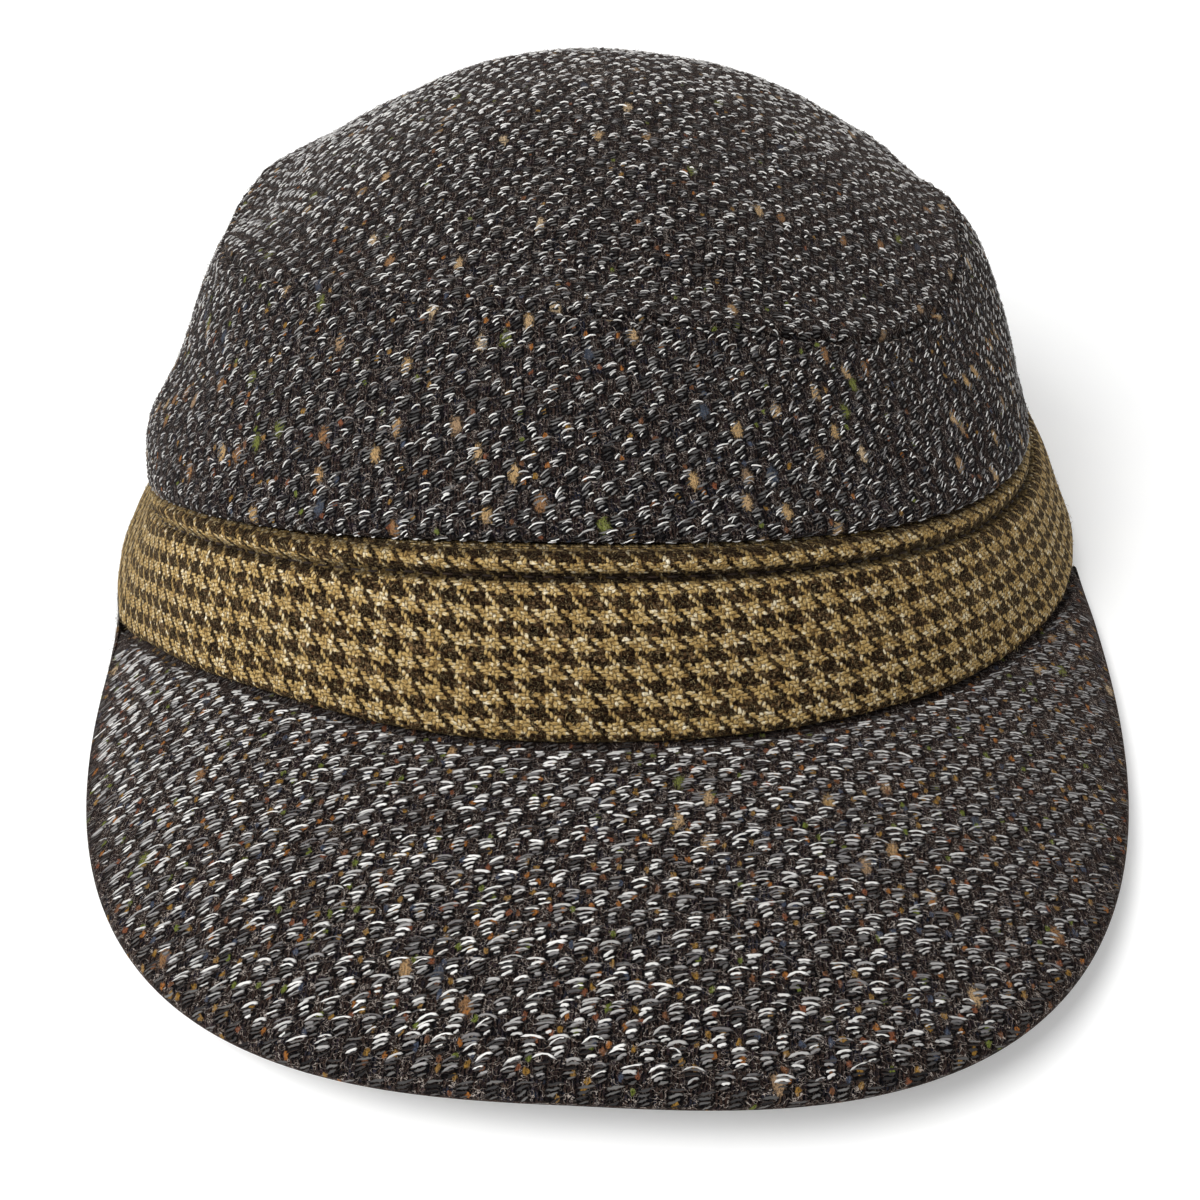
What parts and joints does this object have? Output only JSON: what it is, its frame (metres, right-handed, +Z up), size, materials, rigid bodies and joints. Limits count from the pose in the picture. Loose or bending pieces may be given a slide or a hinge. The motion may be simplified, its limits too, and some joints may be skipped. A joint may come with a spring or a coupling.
{
  "type": "army cap",
  "caption": "Soft wool army cap with a domed tweed crown, a houndstooth band and a broad tweed peak, lying on its hem.",
  "frame": {"origin": "middle of the footprint, on the plane that the cap rests on", "axes": "+Z up, -Y to the front, the way the peak points, and +X to the right seen from in front"},
  "size_m": [0.1836, 0.251, 0.083],
  "materials": {
    "brim_tweed": "matt salt-and-pepper wool tweed over a stiff core, half-drop weave, charcoal with white slubs and coloured flecks",
    "band_houndstooth": "matt wool houndstooth in dark brown and yellow beige, two-up two-down twill, stitched below its top fold",
    "crown_tweed": "matt salt-and-pepper wool tweed, half-drop weave, slightly fuzzy, charcoal with white slubs and coloured flecks"
  },
  "bodies": {
    "root": {"brim": "brim_tweed", "band": "band_houndstooth", "crown_wall": "crown_tweed", "crown_top": "crown_tweed"}
  },
  "joints": []
}
